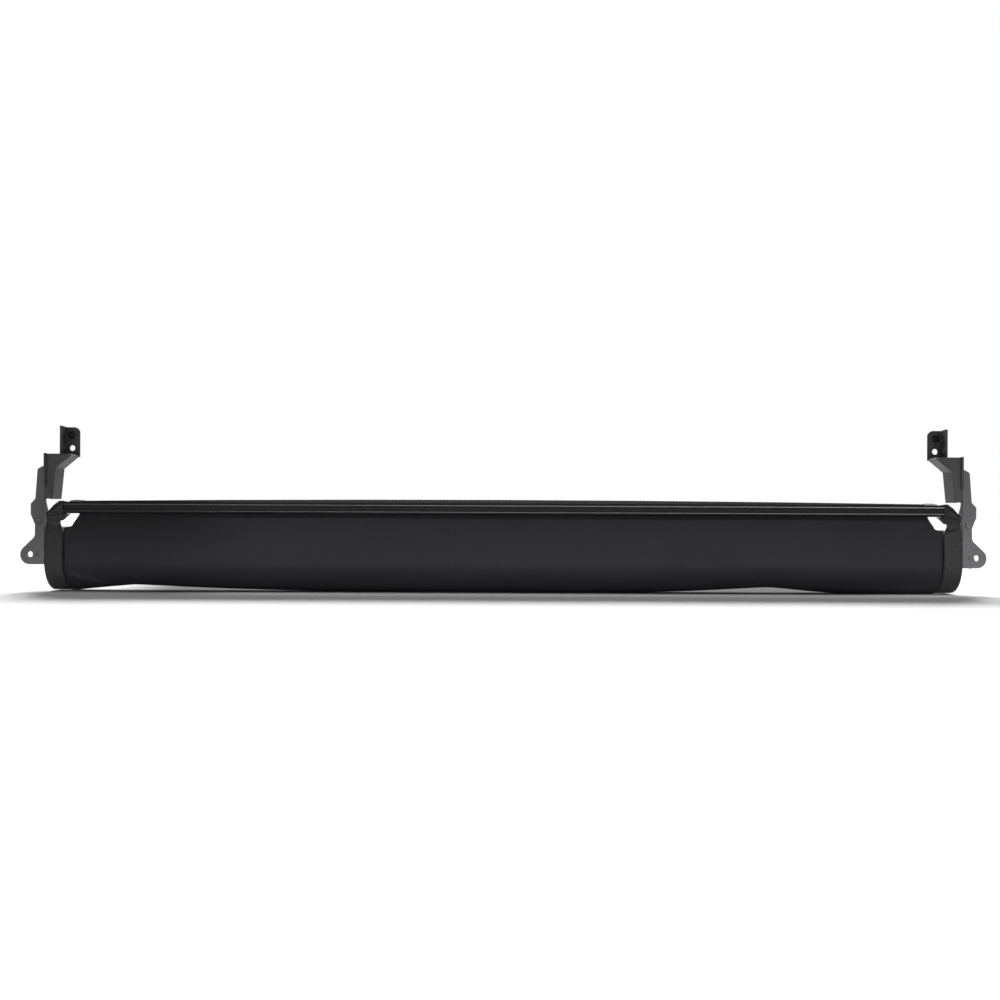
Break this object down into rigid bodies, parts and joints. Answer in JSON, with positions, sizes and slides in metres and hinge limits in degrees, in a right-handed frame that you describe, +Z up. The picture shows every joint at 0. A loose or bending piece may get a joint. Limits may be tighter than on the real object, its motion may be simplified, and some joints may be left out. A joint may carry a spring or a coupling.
{
  "type": "retractable tonneau cover",
  "caption": "Spring-roller tonneau cover: black fabric winds onto a roller between two bolt-on end brackets, and a pull bar with end shoes draws it out.",
  "frame": {"origin": "midway between the two lower ear holes, on the back face of the lower ears", "axes": "+X along the roller towards the idler end, +Y from the front to the vehicle structure behind the ears, +Z up, the way that the pull bar draws the cover"},
  "size_m": [1.1464, 0.0836, 0.196],
  "materials": {
    "bracket_steel": "satin dark grey powder coat on folded steel",
    "channel_casting": "satin dark grey coat on a casting",
    "zinc_steel": "dull zinc plate",
    "shaft_steel": "ground steel",
    "bush_bronze": "sintered bronze",
    "tube_aluminium": "mill finish extrusion",
    "drum_plastic": "moulded black nylon",
    "cover_fabric": "matt black coated fabric",
    "edge_band": "stiff textured edge tape",
    "bar_black": "semi-gloss black extrusion",
    "shoe_plastic": "semi-gloss moulded black plastic",
    "seal_rubber": "matt black ribbed strip",
    "clip_plastic": "pale grey moulded plastic"
  },
  "bodies": {
    "frame": {"left_bracket_plate": "bracket_steel", "right_bracket_plate": "bracket_steel", "left_bearing_carrier": "bracket_steel", "right_bearing_carrier": "bracket_steel", "left_guide_channel": "channel_casting", "right_guide_channel": "channel_casting", "left_carrier_rivet": "zinc_steel", "right_carrier_rivet": "zinc_steel", "left_channel_rivets": "zinc_steel", "right_channel_rivets": "zinc_steel", "idler_bush": "bush_bronze", "spring_mandrel": "shaft_steel", "mandrel_retaining_clip": "zinc_steel", "spring_anchor": "drum_plastic", "torsion_spring": "shaft_steel"},
    "roller": {"roller_tube": "tube_aluminium", "fabric_roll": "cover_fabric", "fabric_anchor_strip": "drum_plastic", "left_band_drum": "drum_plastic", "right_band_drum": "drum_plastic", "left_edge_band_coil": "edge_band", "right_edge_band_coil": "edge_band", "idler_pin": "shaft_steel", "idler_washer": "zinc_steel", "idler_retaining_clip": "zinc_steel", "mandrel_bush": "bush_bronze", "spring_drive_plug": "drum_plastic"},
    "pull_bar": {"pull_bar": "bar_black", "hem_rod": "shaft_steel", "seal_strip": "seal_rubber", "fabric_lead": "cover_fabric", "left_seal_clip": "clip_plastic", "right_seal_clip": "clip_plastic", "left_end_shoe": "shoe_plastic", "right_end_shoe": "shoe_plastic", "left_shoe_screw": "zinc_steel", "right_shoe_screw": "zinc_steel", "left_band_clamp": "zinc_steel", "right_band_clamp": "zinc_steel", "left_clamp_rivets": "zinc_steel", "right_clamp_rivets": "zinc_steel", "left_edge_band_lead": "edge_band", "right_edge_band_lead": "edge_band"}
  },
  "joints": [
    {"name": "pull_bar", "type": "slide", "parent": "frame", "child": "pull_bar", "axis": [0, 0, 1], "range_m": [0, 0.8746], "stiffness_N_per_m": 12, "springref_m": -0.8, "deforming": ["fabric_lead", "left_edge_band_lead", "right_edge_band_lead"]},
    {"name": "roller", "type": "hinge", "parent": "frame", "child": "roller", "pos_m": [0, 0.0135, -0.0045], "axis": [1, 0, 0], "range_deg": [-1440.5, 0]}
  ],
  "couplings": [
    {"joint": "roller", "follows": "pull_bar", "rad_per_m": -28.736}
  ]
}
